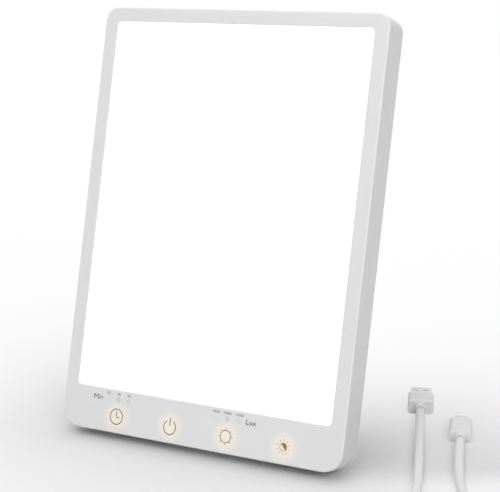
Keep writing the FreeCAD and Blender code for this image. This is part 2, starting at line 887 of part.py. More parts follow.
# Slightly tapered sleeve on the cord behind a plug, with a slot on each side near the grip
def make_relief():
    root = cord_radius + relief_root_wall
    cone = Part.makeCone(cord_radius + relief_end_wall, root, relief_length, Vector(0, 0, 0), along_y)
    high = relief_length - relief_groove_offset
    low = high - relief_groove_width
    core = root - relief_groove_depth
    slots = block(-root - 1, root + 1, low, high, -root - 1, root + 1)
    slots = slots.cut(Part.makeCylinder(core, relief_length, Vector(0, 0, 0), along_y))
    half = relief_bridge_width / 2
    slots = slots.cut(block(-half, half, 0, relief_length, -root - 1, root + 1))
    return cone.cut(slots)


def make_usb_a():
    body_low = relief_length
    body_high = body_low + usb_a_body_length
    tip = body_high + usb_a_shell_length
    half = usb_a_shell_width / 2
    tall = usb_a_shell_height / 2
    shell = block(-half, half, body_high - plug_insert, tip, -tall, tall)
    corners = [e for e in shell.Edges if e.BoundBox.YLength > 1]
    shell = shell.makeFillet(usb_a_shell_corner, corners)
    thin = usb_a_shell_wall
    hollow = block(-half + thin, half - thin, body_high - plug_insert + thin, tip + 1,
                   -tall + thin, tall - thin)
    shell = shell.cut(hollow)
    hole_y = tip - usb_a_hole_from_tip
    for side in (-1, 1):
        x = side * usb_a_hole_offset
        shell = shell.cut(block(x - usb_a_hole_width / 2, x + usb_a_hole_width / 2,
                                hole_y - usb_a_hole_length / 2, hole_y + usb_a_hole_length / 2,
                                -tall - 1, tall + 1))
    dot = Part.makeCylinder(usb_a_dot_radius, tall, Vector(0, tip - usb_a_dot_from_tip, 0), along_z)
    shell = shell.cut(dot.translated(Vector(0, 0, tall / 2)))
    body = plug_body(usb_a_body_width, usb_a_body_height, body_low, body_high, usb_a_corner)
    body = body.cut(block(-half, half, body_high - plug_insert, body_high + 1, -tall, tall))
    contact_low = -tall + thin + usb_a_tongue_height
    tongue = block(-half + thin, half - thin, body_high - plug_insert + thin, tip - usb_a_tongue_recess,
                   -tall + thin, contact_low)
    contacts = []
    contact_high = tip - contact_from_tip
    for i in range(contact_count):
        x = contact_pitch * (i - (contact_count - 1) / 2)
        contacts.append(block(x - contact_width / 2, x + contact_width / 2, contact_high - contact_length,
                              contact_high, contact_low, contact_low + contact_thickness))
    return shell, body, tongue, Part.makeCompound(contacts), make_relief()


def make_usb_c():
    body_low = relief_length
    body_high = body_low + usb_c_body_length
    tip = body_high + usb_c_shell_length
    half = usb_c_shell_width / 2
    tall = usb_c_shell_height / 2
    thin = usb_c_shell_wall
    low = body_high - plug_insert
    shell = oval_slab(0, 0, half, tall, low, tip)
    shell = shell.cut(oval_slab(0, 0, half - thin, tall - thin, low + thin, tip + 1))
    body = plug_body(usb_c_body_width, usb_c_body_height, body_low, body_high, usb_c_corner)
    body = body.cut(oval_slab(0, 0, half, tall, low, body_high + 1))
    liner = oval_slab(0, 0, half - thin, tall - thin, low + thin, tip - usb_c_liner_recess)
    liner = liner.cut(oval_slab(0, 0, half - thin - usb_c_liner_side, tall - thin - usb_c_liner_wall,
                                body_high, tip + 1))
    return shell, body, liner, make_relief()


# Ring with a rounded section, the outer shape of the coil
def coil_ring(grow):
    low = coil_bottom - grow
    high = coil_top + grow
    wire = rounded_outline(coil_inner - grow, coil_outer + grow, low, high, coil_corner, coil_corner, 0)
    ring = Part.Face(wire).revolve(Vector(0, 0, 0), along_z, 360)
    return ring.translated(coil_centre)


def make_tie():
    wire = rounded_outline(coil_inner - tie_thickness, coil_outer + tie_thickness,
                           coil_bottom - tie_thickness, coil_top + tie_thickness,
                           coil_corner, coil_corner, 0)
    band = Part.Face(wire).revolve(Vector(0, 0, 0), along_z, 2 * tie_half_angle)
    band.rotate(Vector(0, 0, 0), along_z, tie_direction - tie_half_angle)
    return band.translated(coil_centre).cut(coil_ring(tie_gap))


# Leans a shape back and lifts it so that the floor is at z = 0
def lean_back(shape):
    leaned = shape.copy()
    leaned.rotate(Vector(0, 0, 0), along_x, -lean_angle)
    leaned.translate(Vector(0, 0, -floor_level))
    return leaned


def above_floor(shape):
    slab = Part.makeBox(4 * panel_width, 4 * panel_width, panel_width,
                        Vector(-2 * panel_width, -2 * panel_width, -panel_width))
    return shape.cut(slab)


def lamp_pieces():
    strip_y = (guide_front + reflector_front) / 2
    left = [Vector(-rail_inside + inward, y, z) for inward, y, z in strip_wire_route]
    left.append(Vector(-rail_inside + strip_wire_turn, strip_y, stack_low - strip_wire_rise))
    left.append(Vector(-rail_inside + strip_wire_end, strip_y, stack_low + strip_end_gap))
    right = [Vector(-point.x, point.y, point.z) for point in left]
    link = [Vector(socket_x - link_wire_start[0], power_board_front - wire_radius,
                   socket_z - link_wire_start[1])]
    link += [Vector(socket_x - inward, y, z) for inward, y, z in link_wire_route]
    connectors = [make_connector(-strip_connector_x, -1), make_connector(strip_connector_x, 1),
                  make_connector(socket_x - power_connector_offset, 1)]
    pieces = {
        "front_case": make_front_case(),
        "rear_cover": make_rear_cover(),
        "inner_frame": make_inner_frame(),
        "diffuser_panel": make_diffuser(),
        "diffusing_film": stack_plate(guide_half, 0, film_front, guide_front),
        "light_guide_plate": stack_plate(guide_half, 0, guide_front, reflector_front),
        "reflector_sheet": stack_plate(guide_half, 0, reflector_front, spreader_front),
        "heat_spreader": stack_plate(guide_half, 0, spreader_front, gasket_front),
        "foam_gasket": make_gasket(),
        "led_board_left": make_strip_board(-1),
        "led_board_right": make_strip_board(1),
        "led_chips_left": make_strip_chips(-1),
        "led_chips_right": make_strip_chips(1),
        "control_board": make_control_board(),
        "key_light_cups": key_rings(cup_inner, cup_inner + cup_wall),
        "touch_sleeves": key_rings(cup_inner + cup_wall + sleeve_gap,
                                   cup_inner + cup_wall + sleeve_gap + sleeve_wall),
        "key_leds": board_lamps(icon_centres, icon_height, icon_led_size, icon_led_height),
        "indicator_leds": board_lamps(indicator_places, indicator_height, indicator_led_size,
                                      indicator_led_height),
        "indicator_light_pipes": make_light_pipes(),
        "touch_controller": make_controller(),
        "driver_inductor": make_inductor(),
        "driver_capacitors": make_capacitors(),
        "wire_connectors": Part.makeCompound(connectors),
        "led_wires": Part.makeCompound(wire_pair(left, along_y) + wire_pair(right, along_y)),
        "power_wires": Part.makeCompound(wire_pair(link, along_z)),
        "power_board": make_power_board(),
        "usb_socket_shell": make_socket_shell(),
        "usb_socket_tongue": make_socket_tongue(),
        "hinge_pin": make_pin(),
        "friction_washers": make_washers(),
        "stand_leg": make_leg(),
        "stand_foot": make_leg_foot(),
    }
    pieces["case_screws"] = Part.makeCompound(
        [screw(x, z, panel_depth, -1, screw_radius, screw_length, screw_head_radius, screw_head_height)
         for x, z in frame_boss_places])
    pieces["frame_screws"] = Part.makeCompound(
        [screw(x, z, web_back + screw_head_height, -1, screw_radius,
               web_back - face_thickness - frame_screw_gap,
               screw_head_radius, screw_head_height) for x, z in frame_ear_places])
    pieces["control_board_screws"] = Part.makeCompound(
        [screw(x, z, board_back + small_head_height, -1, small_screw_radius, small_screw_length,
               small_head_radius, small_head_height) for x, z in board_screw_places])
    pieces["power_board_screws"] = Part.makeCompound(
        [screw(x, z, power_board_front - small_head_height, 1, small_screw_radius, small_screw_length,
               small_head_radius, small_head_height) for x, z in power_screw_places])
    feet = [base_foot_block(side, base_foot_clearance, -panel_depth) for side in (-1, 1)]
    pieces["base_feet"] = Part.makeCompound(feet)
    leaned = {name: lean_back(shape) for name, shape in pieces.items()}
    for name in ("base_feet", "stand_foot"):
        leaned[name] = above_floor(leaned[name])
    return leaned


def lead_pieces():
    shell_a, body_a, tongue_a, contacts_a, relief_a = make_usb_a()
    shell_c, body_c, liner_c, relief_c = make_usb_c()
    pieces = {
        "usb_a_shell": set_plug(shell_a, route_a),
        "usb_a_overmould": set_plug(body_a, route_a),
        "usb_a_tongue": set_plug(tongue_a, route_a),
        "usb_a_contacts": set_plug(contacts_a, route_a),
        "usb_a_strain_relief": set_plug(relief_a, route_a),
        "usb_c_shell": set_plug(shell_c, route_c),
        "usb_c_overmould": set_plug(body_c, route_c),
        "usb_c_liner": set_plug(liner_c, route_c),
        "usb_c_strain_relief": set_plug(relief_c, route_c),
        "lead_coil": coil_ring(0),
        "coil_tie": make_tie(),
        "lead_cord_a": tube(route_a, cord_radius, "lead_cord_a").cut(coil_ring(0)),
        "lead_cord_c": tube(route_c, cord_radius, "lead_cord_c").cut(coil_ring(0)),
    }
    return pieces


os.makedirs("parts", exist_ok=True)
lamp = lamp_pieces()
bounds = Part.makeCompound(list(lamp.values())).optimalBoundingBox(False, False)
centring = Vector(0, -(bounds.YMin + bounds.YMax) / 2, 0)
nodes = {name: shape.translated(centring) for name, shape in lamp.items()}
nodes.update(lead_pieces())
hinge_point = lean_back(Part.Vertex(Vector(0, hinge_depth, hinge_height))).Point + centring
socket_mouth = Vector(socket_x, panel_depth - socket_mouth_depth, socket_z)
socket_point = lean_back(Part.Vertex(socket_mouth)).Point + centring
print("hinge axis", hinge_point, "socket mouth", socket_point)
print("leg length", round(leg_length, 2), "centring", round(centring.y, 3))
for name, shape in nodes.items():
    shape.exportStep("parts/" + name + ".step")
    valid = all(solid.isValid() for solid in shape.Solids)
    print(name, len(shape.Solids), "solids", "valid" if valid else "NOT VALID", round(shape.Volume, 1))
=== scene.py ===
import json
import math

import bmesh
import bpy
import numpy as np
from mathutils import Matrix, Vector


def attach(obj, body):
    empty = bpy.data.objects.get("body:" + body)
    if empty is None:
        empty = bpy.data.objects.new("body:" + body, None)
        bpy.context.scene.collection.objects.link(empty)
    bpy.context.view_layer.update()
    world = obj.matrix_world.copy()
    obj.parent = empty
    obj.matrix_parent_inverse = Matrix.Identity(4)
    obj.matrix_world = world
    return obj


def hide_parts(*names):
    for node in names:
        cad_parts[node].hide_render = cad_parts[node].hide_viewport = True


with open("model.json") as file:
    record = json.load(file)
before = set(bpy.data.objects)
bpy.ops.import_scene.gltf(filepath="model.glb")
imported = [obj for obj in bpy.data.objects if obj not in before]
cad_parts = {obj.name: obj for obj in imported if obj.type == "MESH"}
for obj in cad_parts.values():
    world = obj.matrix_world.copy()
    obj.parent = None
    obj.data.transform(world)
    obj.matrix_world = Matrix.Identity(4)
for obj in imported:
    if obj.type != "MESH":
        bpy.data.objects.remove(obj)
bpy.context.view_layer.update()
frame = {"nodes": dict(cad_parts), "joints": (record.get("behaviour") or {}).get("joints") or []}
print("frame loaded,", len(frame["nodes"]), "nodes")


def addObject(name, data):
    thing = bpy.data.objects.new(name, data)
    bpy.context.scene.collection.objects.link(thing)
    return thing


# Camera.
camera = {
    "place": (0.30353, -0.58708, 0.25594),
    "turnDegrees": (77.211, 0.0, 26.283),
    "lens": 92.10,
    "sensor": 36.0,
    "clipEnd": 60.0,
}


def makeCamera(settings):
    lens = bpy.data.cameras.new("camera")
    lens.lens = settings["lens"]
    lens.sensor_width = settings["sensor"]
    lens.sensor_fit = "HORIZONTAL"
    lens.clip_end = settings["clipEnd"]
    holder = addObject("camera", lens)
    holder.location = settings["place"]
    holder.rotation_euler = [math.radians(angle) for angle in settings["turnDegrees"]]
    bpy.context.scene.camera = holder


makeCamera(camera)

# Lead.
# The cord runs from the USB-C plug to the coil, round it, and on to the USB-A plug.
lead = {
    "diameter": 0.005,
    "length": 1.07,
    "fromSmallPlug": [
        (0.1188, 0.0407, 0.0033),
        (0.1226, 0.0276, 0.0033),
        (0.1302, 0.0016, 0.0025),
        (0.1396, -0.0246, 0.0025),
        (0.1500, -0.0385, 0.0028),
        (0.1570, -0.0470, 0.0042),
        (0.1630, -0.0540, 0.0062),
        (0.1686, -0.0620, 0.0083),
        (0.1726, -0.0705, 0.0085),
    ],
    "toLargePlug": [
        (0.1140, -0.0760, 0.0031),
        (0.1156, -0.0620, 0.0028),
        (0.1228, -0.0425, 0.0027),
        (0.1126, -0.0085, 0.0025),
        (0.1008, 0.0268, 0.0026),
        (0.0912, 0.0558, 0.0040),
        (0.0858, 0.0722, 0.0040),
    ],
    "coilCentre": (0.146, -0.088),
    "turnRadii": (0.03245, 0.0274, 0.02235, 0.0249, 0.02995),
    "climbTurn": 2,
    "layerHeights": (0.0033, 0.00765),
    "crossingHump": 0.0007,
    "turns": 4.5417,
    "pointsPerTurn": 24,
    "pointSpread": 1.0065,
    "moveShare": 1 / 6,
    "splineOrder": 3,
    "splineSteps": 8,
    "sides": 20,
}


def smoothStep(share):
    # 0 below 0, 1 above 1, and 3 s^2 - 2 s^3 between
    share = np.clip(share, 0.0, 1.0)
    return share * share * (3.0 - 2.0 * share)


def coilPoints(settings):
    # A turn keeps its radius until its last sixth, where it eases to the next turn's.
    # The climbing turn rises to the upper layer in the sixth before that.
    steps = int(settings["turns"] * settings["pointsPerTurn"])
    along = np.linspace(0.0, settings["turns"], steps + 1)
    turn = np.floor(along).astype(int)
    part = along - turn
    move = settings["moveShare"]
    radii = np.array(settings["turnRadii"])
    after = np.minimum(turn + 1, len(radii) - 1)
    shift = (part - (1.0 - move)) / move
    radius = radii[turn] + (radii[after] - radii[turn]) * smoothStep(shift)
    low, high = settings["layerHeights"]
    climb = smoothStep((part - (1.0 - 2.0 * move)) / move)
    climb = np.where(turn < settings["climbTurn"], 0.0, climb)
    climb = np.where(turn > settings["climbTurn"], 1.0, climb)
    hump = np.sin(math.pi * np.clip(shift, 0.0, 1.0)) * (turn >= settings["climbTurn"])
    height = low + (high - low) * climb + settings["crossingHump"] * hump
    angle = math.pi + 2.0 * math.pi * along
    reach = radius * settings["pointSpread"]
    centre = settings["coilCentre"]
    x = centre[0] + reach * np.cos(angle)
    y = centre[1] + reach * np.sin(angle)
    return np.stack([x, y, height], axis=1)


def vertexPlaces(mesh):
    spots = np.zeros(len(mesh.vertices) * 3)
    mesh.vertices.foreach_get("co", spots)
    return spots.reshape(-1, 3)


def splineLine(route, settings):
    # the smooth NURBS line through the route, as the points that the spline itself gives
    curve = bpy.data.curves.new("lead_route", "CURVE")
    curve.dimensions = "3D"
    spline = curve.splines.new("NURBS")
    spline.points.add(len(route) - 1)
    spline.points.foreach_set("co", np.column_stack([route, np.ones(len(route))]).ravel())
    spline.order_u = settings["splineOrder"]
    spline.use_endpoint_u = True
    spline.resolution_u = settings["splineSteps"]
    carrier = bpy.data.objects.new("lead_route", curve)
    mesh = bpy.data.meshes.new_from_object(carrier)
    path = vertexPlaces(mesh)
    bpy.data.meshes.remove(mesh)
    bpy.data.objects.remove(carrier)
    bpy.data.curves.remove(curve)
    return path


def gridFaces(rows, columns, start, closedRows, closedColumns):
    # quads between neighbours of a rows x columns grid of points, as one array
    index = np.arange(rows * columns).reshape(rows, columns) + start
    if closedRows:
        index = np.concatenate([index, index[:1]], axis=0)
    if closedColumns:
        index = np.concatenate([index, index[:, :1]], axis=1)
    quads = [index[:-1, :-1], index[:-1, 1:], index[1:, 1:], index[1:, :-1]]
    return np.stack(quads, axis=-1).reshape(-1, 4)


def unit(rows):
    return rows / np.linalg.norm(rows, axis=1, keepdims=True)


def lengthsAlong(path):
    # the way along the path to each of its points
    steps = np.linalg.norm(np.diff(path, axis=0), axis=1)
    return np.concatenate([[0.0], np.cumsum(steps)])


def tubeMesh(name, path, radius, sides):
    # path(i) + radius (cos a * side + sin a * over), with side = ahead x up and over = side x ahead.
    # The UV map has metres along the tube and turns round it, where each round's last quad ends at 1.
    ahead = unit(np.gradient(path, axis=0))
    side = unit(np.cross(ahead, [0.0, 0.0, 1.0]))
    over = np.cross(side, ahead)
    angle = 2.0 * math.pi * np.arange(sides) / sides
    spoke = np.cos(angle)[:, None] * side[:, None, :] + np.sin(angle)[:, None] * over[:, None, :]
    places = (path[:, None, :] + radius * spoke).reshape(-1, 3)
    quads = gridFaces(len(path), sides, 0, False, True)[:, ::-1]
    ends = [list(range(sides)), list(range(len(places) - 1, len(places) - 1 - sides, -1))]
    mesh = bpy.data.meshes.new(name)
    mesh.from_pydata(places.tolist(), [], quads.tolist() + ends)
    row, column = np.divmod(quads, sides)
    column = np.where((column == 0) & (column.max(axis=1, keepdims=True) == sides - 1), sides, column)
    metres = np.concatenate([lengthsAlong(path)[row].ravel(), np.zeros(2 * sides)])
    turns = np.concatenate([column.ravel() / sides, np.zeros(2 * sides)])
    layer = mesh.uv_layers.new(name="alongAndRound")
    layer.data.foreach_set("uv", np.column_stack([metres, turns]).ravel())
    mesh.polygons.foreach_set("use_smooth", np.ones(len(mesh.polygons), bool))
    mesh.update()
    return mesh


def makeLead(settings):
    route = np.concatenate(
        [settings["fromSmallPlug"], coilPoints(settings)[::-1], settings["toLargePlug"]]
    )
    line = splineLine(route, settings)
    cord = addObject("lead_cord", tubeMesh("lead_cord", line, settings["diameter"] / 2, settings["sides"]))
    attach(cord, "root")
    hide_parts("lead_cord_a", "lead_cord_c", "lead_coil")
    return cord


leadCord = makeLead(lead)
print("lead laid")

# The panel's own axes: across = world x, up = along the panel's height, and inward = from its
# front face to its back. window holds half its width and its low and high edge, outline half the
# casing's width and its height, cornerRadii those of the top and the bottom corners.
panel = {
    "leanDegrees": 14.4,
    "hingeDepth": 0.018,
    "hingeHeight": 0.118,
    "keyHeight": 0.009,
    "keyPlaces": (-0.0484, -0.0155, 0.0175, 0.0503),
    "lampMiddles": {"time": -0.0482, "light": 0.0174},
    "lampHeight": 0.01815,
    "lampStep": 0.0065,
    "window": (0.0747, 0.0232, 0.2224),
    "outline": (0.0825, 0.230),
    "cornerRadii": (0.007, 0.011),
}
lean = math.radians(panel["leanDegrees"])
acrossAxis = np.array([1.0, 0.0, 0.0])
upAxis = np.array([0.0, math.sin(lean), math.cos(lean)])
inwardAxis = np.array([0.0, math.cos(lean), -math.sin(lean)])
panelOrigin = (
    np.array(frame["joints"][0]["pos_m"])
    - panel["hingeDepth"] * inwardAxis
    - panel["hingeHeight"] * upAxis
)
panelOrigin[0] = 0.0


def onPanel(points):
    # rows of (across, up, proud of the face) in metres to rows of (x, y, z)
    return (
        panelOrigin
        + points[..., 0:1] * acrossAxis
        + points[..., 1:2] * upAxis
        - points[..., 2:3] * inwardAxis
    )


# Finishes.
class Flow:
    # one output of a node; arithmetic on it adds Math nodes
    def __init__(self, graph, socket):
        self.graph = graph
        self.socket = socket

    def maths(self, operation, *values):
        return self.graph.add("ShaderNodeMath", {"operation": operation}, values)

    def __add__(self, other):
        return self.maths("ADD", self, other)

    def __radd__(self, other):
        return self.maths("ADD", other, self)

    def __sub__(self, other):
        return self.maths("SUBTRACT", self, other)

    def __rsub__(self, other):
        return self.maths("SUBTRACT", other, self)

    def __mul__(self, other):
        return self.maths("MULTIPLY", self, other)

    def __rmul__(self, other):
        return self.maths("MULTIPLY", other, self)

    def __truediv__(self, other):
        return self.maths("DIVIDE", self, other)

    def __rtruediv__(self, other):
        return self.maths("DIVIDE", other, self)

    def __pow__(self, other):
        return self.maths("POWER", self, other)

    def above(self, limit):
        return self.maths("GREATER_THAN", self, limit)

    def below(self, limit):
        return self.maths("LESS_THAN", self, limit)

    def most(self, other):
        return self.maths("MAXIMUM", self, other)

    def least(self, other):
        return self.maths("MINIMUM", self, other)

    def size(self):
        return self.maths("ABSOLUTE", self)

    def wave(self):
        return self.maths("SINE", self)

    def clamped(self):
        return self.graph.add("ShaderNodeClamp", {}, [self, 0.0, 1.0])


class Graph:
    # the node tree of a material or of the world, emptied first
    def __init__(self, tree):
        self.tree = tree
        self.tree.nodes.clear()

    def add(self, kind, settings, inputs, output=0):
        node = self.tree.nodes.new(kind)
        for name, value in settings.items():
            setattr(node, name, value)
        pairs = inputs.items() if isinstance(inputs, dict) else enumerate(inputs)
        for key, value in pairs:
            self.fill(node.inputs[key], value)
        return Flow(self, node.outputs[output])

    def fill(self, socket, value):
        if isinstance(value, Flow):
            self.tree.links.new(value.socket, socket)
        elif socket.type == "RGBA" and len(value) == 3:
            socket.default_value = (*value, 1.0)
        else:
            socket.default_value = value


class Finish(Graph):
    # one material round a Principled shader
    def __init__(self, name):
        self.material = bpy.data.materials.new(name)
        self.material.use_nodes = True
        super().__init__(self.material.node_tree)
        self.place = self.add("ShaderNodeTexCoord", {}, {}, "Object")
        self.shader = self.tree.nodes.new("ShaderNodeBsdfPrincipled")
        self.output = self.tree.nodes.new("ShaderNodeOutputMaterial")
        self.tree.links.new(self.shader.outputs[0], self.output.inputs[0])

    def feed(self, **values):
        # keyword names are the shader's socket names without their spaces
        sockets = {socket.name.replace(" ", ""): socket for socket in self.shader.inputs}
        for name, value in values.items():
            self.fill(sockets[name], value)

    def noise(self, grain, detail=2.0, place=None):
        # smooth noise from 0 to 1 with lumps about one grain across
        inputs = {"Vector": place or self.place, "Scale": 1.0 / grain, "Detail": detail}
        return self.add("ShaderNodeTexNoise", {}, inputs, "Fac")

    def cells(self, grain, feature="F1"):
        # distance to the middle of the nearest cell, or with another feature to the cells' border
        inputs = {"Vector": self.place, "Scale": 1.0 / grain}
        return self.add("ShaderNodeTexVoronoi", {"feature": feature}, inputs, "Distance")

    def scaled(self, scale, turn=(0.0, 0.0, 0.0), place=None):
        # coordinates turned, then multiplied by scale along each axis
        inputs = {"Vector": place or self.place, "Rotation": turn, "Scale": scale}
        return self.add("ShaderNodeMapping", {}, inputs)

    def mix(self, share, first, second):
        # sockets 6 and 7 and output 2 are this node's colours
        return self.add("ShaderNodeMix", {"data_type": "RGBA"}, {0: share, 6: first, 7: second}, 2)

    def bump(self, height, depth):
        # height 0 to 1 stands for depth in metres
        return self.add("ShaderNodeBump", {}, {"Distance": depth, "Height": height})

    def axes(self):
        node = self.add("ShaderNodeSeparateXYZ", {}, [self.place]).socket.node
        return [Flow(self, socket) for socket in node.outputs]

    def panelAxes(self):
        # across, up and inward from the front face, in metres, of a point on the casing
        x, y, z = self.axes()
        y = y - float(panelOrigin[1])
        z = z - float(panelOrigin[2])
        up = y * math.sin(lean) + z * math.cos(lean)
        inward = y * math.cos(lean) - z * math.sin(lean)
        return x, up, inward


def distance(first, second):
    return (first * first + second * second) ** 0.5


def between(limits, share):
    # the first limit at share 0, the second at 1
    low, high = limits
    return low + (high - low) * share


def grey(level):
    return (level, level, level)


mould = {
    "tone": 0.012,
    "cloudGrain": 0.030,
    "shineGrain": 0.004,
    "shineSwing": 0.04,
    "sinkGrain": 0.012,
    "sinkDepth": 0.00002,
}


def mouldedPlastic(name, colour, roughness, grain, grainDepth, tone=mould["tone"]):
    # Base +- tone by a slow cloud, and roughness +- its swing by a finer one. The skin is
    # spark-eroded grain: noise of one grain size, plus the faint waviness that the mould leaves.
    finish = Finish(name)
    darker = [part * (1.0 - tone) for part in colour]
    lighter = [min(1.0, part * (1.0 + tone)) for part in colour]
    finish.plain = finish.mix(finish.noise(mould["cloudGrain"]), darker, lighter)
    swing = mould["shineSwing"]
    sink = finish.noise(mould["sinkGrain"], detail=1.0)
    height = finish.noise(grain, detail=3.0) + sink * (mould["sinkDepth"] / grainDepth)
    shine = finish.noise(mould["shineGrain"], detail=3.0)
    finish.feed(
        BaseColor=finish.plain,
        Roughness=between((roughness - swing, roughness + swing), shine),
        Normal=finish.bump(height, grainDepth),
    )
    return finish


def outlineGap(across, up):
    # distance to the casing's outline, below 0 inside it: with s and u a point's places past the
    # corner's centre, length of (s, u) where both are above 0, else the larger one, less the radius
    halfWidth, height = panel["outline"]
    topRadius, bottomRadius = panel["cornerRadii"]
    radius = topRadius + (bottomRadius - topRadius) * up.below(height / 2)
    sideways = across.size() - halfWidth + radius
    upwards = (up - height / 2).size() - height / 2 + radius
    inCorner = distance(sideways.most(0.0), upwards.most(0.0))
    return inCorner + sideways.most(upwards).least(0.0) - radius


casing = {
    "colour": grey(0.80),
    "grain": 0.00045,
    "grainDepth": 0.000006,
    "roughness": 0.34,
    "shine": 0.40,
    # painted highlight along the rounded front edge: a paler colour in a band this wide, fading at its sides
    # over this length
    "edgeColour": grey(0.845),
    "edgeWidth": 0.0010,
    "edgeFade": 0.0003,
    "haloReach": 0.009,
    "haloFade": 0.0055,
    "haloDepth": 0.0006,
    "haloLight": (0.158, 0.086, 0.028),
    "haloBlue": 0.04,
}


def casingFinish(settings):
    # The moulded skin, with a painted highlight along the rounded front edge, where the colour is a
    # little paler, and a warm round glow in the face round each key: glow = (reach - distance to the
    # key) / fade, between 0 and 1.
    finish = mouldedPlastic(
        "casing_plastic",
        settings["colour"],
        settings["roughness"],
        settings["grain"],
        settings["grainDepth"],
    )
    across, up, inward = finish.panelAxes()
    glow = 0.0
    for keyPlace in panel["keyPlaces"]:
        away = distance(across - keyPlace, up - panel["keyHeight"])
        glow = ((settings["haloReach"] - away) / settings["haloFade"]).clamped() + glow
    glow = glow * inward.below(settings["haloDepth"])
    # painted highlight: edge is 1 in a band along the rounded front edge, where the paler colour is mixed in
    width, fade = settings["edgeWidth"], settings["edgeFade"]
    edge = ((outlineGap(across, up) + width) / fade).clamped() * ((width - inward) / fade).clamped()
    red, green, blue = settings["colour"]
    warm = (red, green, blue * (1.0 - settings["haloBlue"]))
    finish.feed(
        BaseColor=finish.mix(glow, finish.mix(edge, finish.plain, settings["edgeColour"]), warm),
        SpecularIORLevel=settings["shine"],
        EmissionColor=finish.mix(glow, grey(0.0), settings["haloLight"]),
        EmissionStrength=1.0,
    )
    return finish


diffuser = {
    "edge": 0.0015,
    "colours": (grey(0.48), grey(0.52)),
    "lightColours": (grey(0.92), grey(1.0)),
    "light": 0.75,
    "pearlGrain": 0.0006,
    "pearlDepth": 0.00001,
    "roughness": (0.35, 0.45),
    "shineGrain": 0.002,
}


def diffuserFinish(settings):
    # lit opal sheet: its own light is even, and a little less close to the window's edge
    finish = Finish("opal_diffuser")
    halfWidth, low, high = panel["window"]
    across, up, _ = finish.panelAxes()
    sideways = (halfWidth - across.size()) / settings["edge"]
    upwards = ((high - low) / 2 - (up - (high + low) / 2).size()) / settings["edge"]
    pearl = finish.cells(settings["pearlGrain"])
    finish.feed(
        BaseColor=finish.mix(pearl, *settings["colours"]),
        EmissionColor=finish.mix(sideways.clamped().least(upwards.clamped()), *settings["lightColours"]),
        EmissionStrength=settings["light"],
        Roughness=between(settings["roughness"], finish.noise(settings["shineGrain"])),
        Normal=finish.bump(pearl, settings["pearlDepth"]),
    )
    return finish


rubber = {
    "grain": 0.0004,
    "grainDepth": 0.000015,
    "shineGrain": 0.003,
    "shineSwing": 0.06,
    "sheen": 0.15,
    "sheenRoughness": 0.5,
}


def rubberFinish(name, colour, speckle, roughness):
    # soft grip rubber: fine speckle between two tones, matt, with a sheen at grazing angles
    finish = Finish(name)
    fleck = finish.noise(rubber["grain"], detail=4.0)
    swing = rubber["shineSwing"]
    finish.feed(
        BaseColor=finish.mix(fleck, colour, speckle),
        Roughness=between((roughness - swing, roughness + swing), finish.noise(rubber["shineGrain"])),
        Normal=finish.bump(fleck, rubber["grainDepth"]),
        SheenWeight=rubber["sheen"],
        SheenRoughness=rubber["sheenRoughness"],
    )
    return finish


metal = {
    "scratchGrain": 0.001,
    "scratchDepth": 0.000002,
    "scratchTone": 0.90,
    "scratchRoughness": 0.12,
    "smearGrain": 0.006,
    "smearRoughness": 0.06,
}


def brushedMetal(name, colour, roughness, scale, turn=(0.0, 0.0, 0.0)):
    # fine scratches: noise drawn out along the brushing, in tone, roughness and bump
    finish = Finish(name)
    scratches = finish.noise(metal["scratchGrain"], detail=4.0, place=finish.scaled(scale, turn))
    smear = finish.noise(metal["smearGrain"])
    finish.feed(
        BaseColor=finish.mix(scratches, [part * metal["scratchTone"] for part in colour], colour),
        Metallic=1.0,
        Roughness=roughness + metal["scratchRoughness"] * scratches + metal["smearRoughness"] * smear,
        Normal=finish.bump(scratches, metal["scratchDepth"]),
    )
    return finish


board = {
    "trackShare": 0.08,
    "trackDepth": 0.00002,
    "viaSpacing": 1.7,
    "viaShare": 0.12,
    "viaColour": (0.72, 0.62, 0.35),
    "viaMetal": 0.8,
    "roughness": (0.35, 0.50),
    "shineGrain": 0.002,
    "coat": 0.3,
    "coatRoughness": 0.15,
}


def boardFinish(name, mask, copper, pitch):
    # solder mask over copper: the borders between cells are traces, and the middles of larger
    # cells are vias
    finish = Finish(name)
    tracks = finish.cells(pitch, "DISTANCE_TO_EDGE").below(board["trackShare"])
    vias = finish.cells(pitch * board["viaSpacing"]).below(board["viaShare"])
    finish.feed(
        BaseColor=finish.mix(vias, finish.mix(tracks, mask, copper), board["viaColour"]),
        Roughness=between(board["roughness"], finish.noise(board["shineGrain"])),
        Metallic=vias * board["viaMetal"],
        Normal=finish.bump(tracks, board["trackDepth"]),
        CoatWeight=board["coat"],
        CoatRoughness=board["coatRoughness"],
    )
    return finish


lightChip = {
    "spotSpacing": 0.0030,
    "spotShare": 0.45,
    "colours": ((0.86, 0.86, 0.82), (0.93, 0.80, 0.30)),
    "lightColours": (grey(0.05), (0.5, 0.45, 0.3)),
    "roughness": (0.4, 0.5),
    "shineGrain": 0.0005,
}


def ledFinish(settings):
    # white package with a round yellow phosphor spot: a cell's middle is the spot
    finish = Finish("led_phosphor")
    spot = finish.cells(settings["spotSpacing"]).below(settings["spotShare"])
    finish.feed(
        BaseColor=finish.mix(spot, *settings["colours"]),
        EmissionColor=finish.mix(spot, *settings["lightColours"]),
        EmissionStrength=1.0,
        Roughness=between(settings["roughness"], finish.noise(settings["shineGrain"])),
    )
    return finish


lightPipe = {
    "colours": ((0.78, 0.78, 0.77), (0.79, 0.77, 0.74)),
    "lightColours": (grey(0.0), (0.05, 0.034, 0.018)),
    "grain": 0.0008,
    "grainDepth": 0.00001,
    "roughness": (0.25, 0.40),
}


